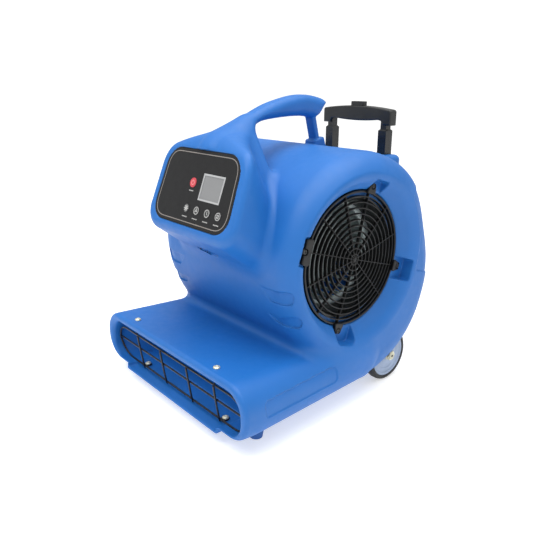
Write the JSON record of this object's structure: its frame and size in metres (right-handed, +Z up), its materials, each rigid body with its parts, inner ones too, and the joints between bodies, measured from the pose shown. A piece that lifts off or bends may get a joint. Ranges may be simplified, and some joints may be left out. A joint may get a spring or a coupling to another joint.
{
  "type": "air mover",
  "caption": "Blue moulded centrifugal floor blower with flat front outlet, round side inlets, control pod, carry handle, telescopic trolley handle and rear wheels.",
  "frame": {"origin": "on the floor, under the centre of the bounding box", "axes": "+Z up, -Y towards the air outlet, +X towards the right-hand inlet seen from the outlet side"},
  "size_m": [0.385, 0.437, 0.463],
  "materials": {
    "blue_shell": "satin rotomoulded polyethylene",
    "black_moulding": "fine grain",
    "black_wire": "black powder coat",
    "zinc_steel": "zinc plated",
    "bright_steel": "ground",
    "motor_paint": "semi-gloss",
    "copper_winding": "enamelled copper wire, brass stands in for copper",
    "lamination": "stacked laminations",
    "fascia_black": "printed overlay",
    "display_grey": "display frame",
    "display_pane": "tinted, 0.35 alpha",
    "board_green": "circuit board",
    "key_red": "key",
    "key_dark": "key",
    "tube_black": "black powder coated tube",
    "hub_grey": "light blue-grey",
    "tyre_black": "solid rubber",
    "foot_blue": "blue foot"
  },
  "bodies": {
    "chassis": {"housing": "blue_shell", "inlet_ring_right": "black_moulding", "inlet_ring_left": "black_moulding", "inlet_grille_right": "black_moulding", "inlet_grille_left": "black_moulding", "inlet_grille_screws": "zinc_steel", "motor_case": "motor_paint", "motor_end_left": "motor_paint", "motor_end_right": "motor_paint", "motor_bearings": "bright_steel", "motor_stator": "lamination", "motor_windings": "copper_winding", "motor_carrier": "black_wire", "outlet_guard": "black_wire", "outlet_guard_screws": "zinc_steel", "control_fascia": "fascia_black", "display_frame": "display_grey", "display_window": "display_pane", "display_module": "key_dark", "control_board": "board_green", "board_pillars": "black_moulding", "key_switches": "key_dark", "run_capacitor": "display_grey", "trolley_outer_tubes": "tube_black", "trolley_collars": "black_moulding", "axle": "bright_steel", "wheel_spacers": "black_moulding", "wheel_washers": "zinc_steel", "axle_nuts": "zinc_steel", "front_feet": "foot_blue", "supply_inlet": "black_moulding", "supply_pins": "bright_steel"},
    "rotor": {"fan_wheel": "black_moulding", "fan_wheel_nut": "zinc_steel", "motor_shaft": "bright_steel", "motor_rotor": "lamination"},
    "wheel_right": {"wheel_hub_right": "hub_grey", "tyre_right": "tyre_black"},
    "wheel_left": {"wheel_hub_left": "hub_grey", "tyre_left": "tyre_black"},
    "trolley": {"trolley_grip": "black_moulding", "trolley_inner_tubes": "tube_black", "trolley_glides": "black_moulding"},
    "release": {"release_button": "black_moulding", "release_rods": "bright_steel"},
    "pin_right": {"lock_pin_right": "bright_steel"},
    "pin_left": {"lock_pin_left": "bright_steel"},
    "key_power": {"power_key": "key_red"},
    "key_1": {"function_key_1": "key_dark"},
    "key_2": {"function_key_2": "key_dark"},
    "key_3": {"function_key_3": "key_dark"},
    "key_4": {"function_key_4": "key_dark"}
  },
  "joints": [
    {"name": "fan_spin", "type": "hinge", "parent": "chassis", "child": "rotor", "pos_m": [0, 0.0158, 0.2319], "axis": [1, 0, 0], "continuous": true},
    {"name": "wheel_right_spin", "type": "hinge", "parent": "chassis", "child": "wheel_right", "pos_m": [0.159, 0.112, 0.045], "axis": [1, 0, 0], "continuous": true},
    {"name": "wheel_left_spin", "type": "hinge", "parent": "chassis", "child": "wheel_left", "pos_m": [-0.159, 0.112, 0.045], "axis": [1, 0, 0], "continuous": true},
    {"name": "trolley_slide", "type": "slide", "parent": "chassis", "child": "trolley", "axis": [0, 0, 1], "range_m": [0, 0.3]},
    {"name": "release_press", "type": "slide", "parent": "trolley", "child": "release", "axis": [0, 0, -1], "range_m": [0, 0.004]},
    {"name": "pin_right_retract", "type": "slide", "parent": "trolley", "child": "pin_right", "axis": [-1, 0, 0], "range_m": [0, 0.003]},
    {"name": "pin_left_retract", "type": "slide", "parent": "trolley", "child": "pin_left", "axis": [1, 0, 0], "range_m": [0, 0.003]},
    {"name": "power_key_press", "type": "slide", "parent": "chassis", "child": "key_power", "axis": [0, 0.9318, -0.3629], "range_m": [0, 0.0005]},
    {"name": "function_key_1_press", "type": "slide", "parent": "chassis", "child": "key_1", "axis": [0, 0.9318, -0.3629], "range_m": [0, 0.0005]},
    {"name": "function_key_2_press", "type": "slide", "parent": "chassis", "child": "key_2", "axis": [0, 0.9318, -0.3629], "range_m": [0, 0.0005]},
    {"name": "function_key_3_press", "type": "slide", "parent": "chassis", "child": "key_3", "axis": [0, 0.9318, -0.3629], "range_m": [0, 0.0005]},
    {"name": "function_key_4_press", "type": "slide", "parent": "chassis", "child": "key_4", "axis": [0, 0.9318, -0.3629], "range_m": [0, 0.0005]}
  ],
  "couplings": [
    {"joint": "pin_right_retract", "follows": "release_press", "ratio": 0.75},
    {"joint": "pin_left_retract", "follows": "release_press", "ratio": 0.75}
  ]
}
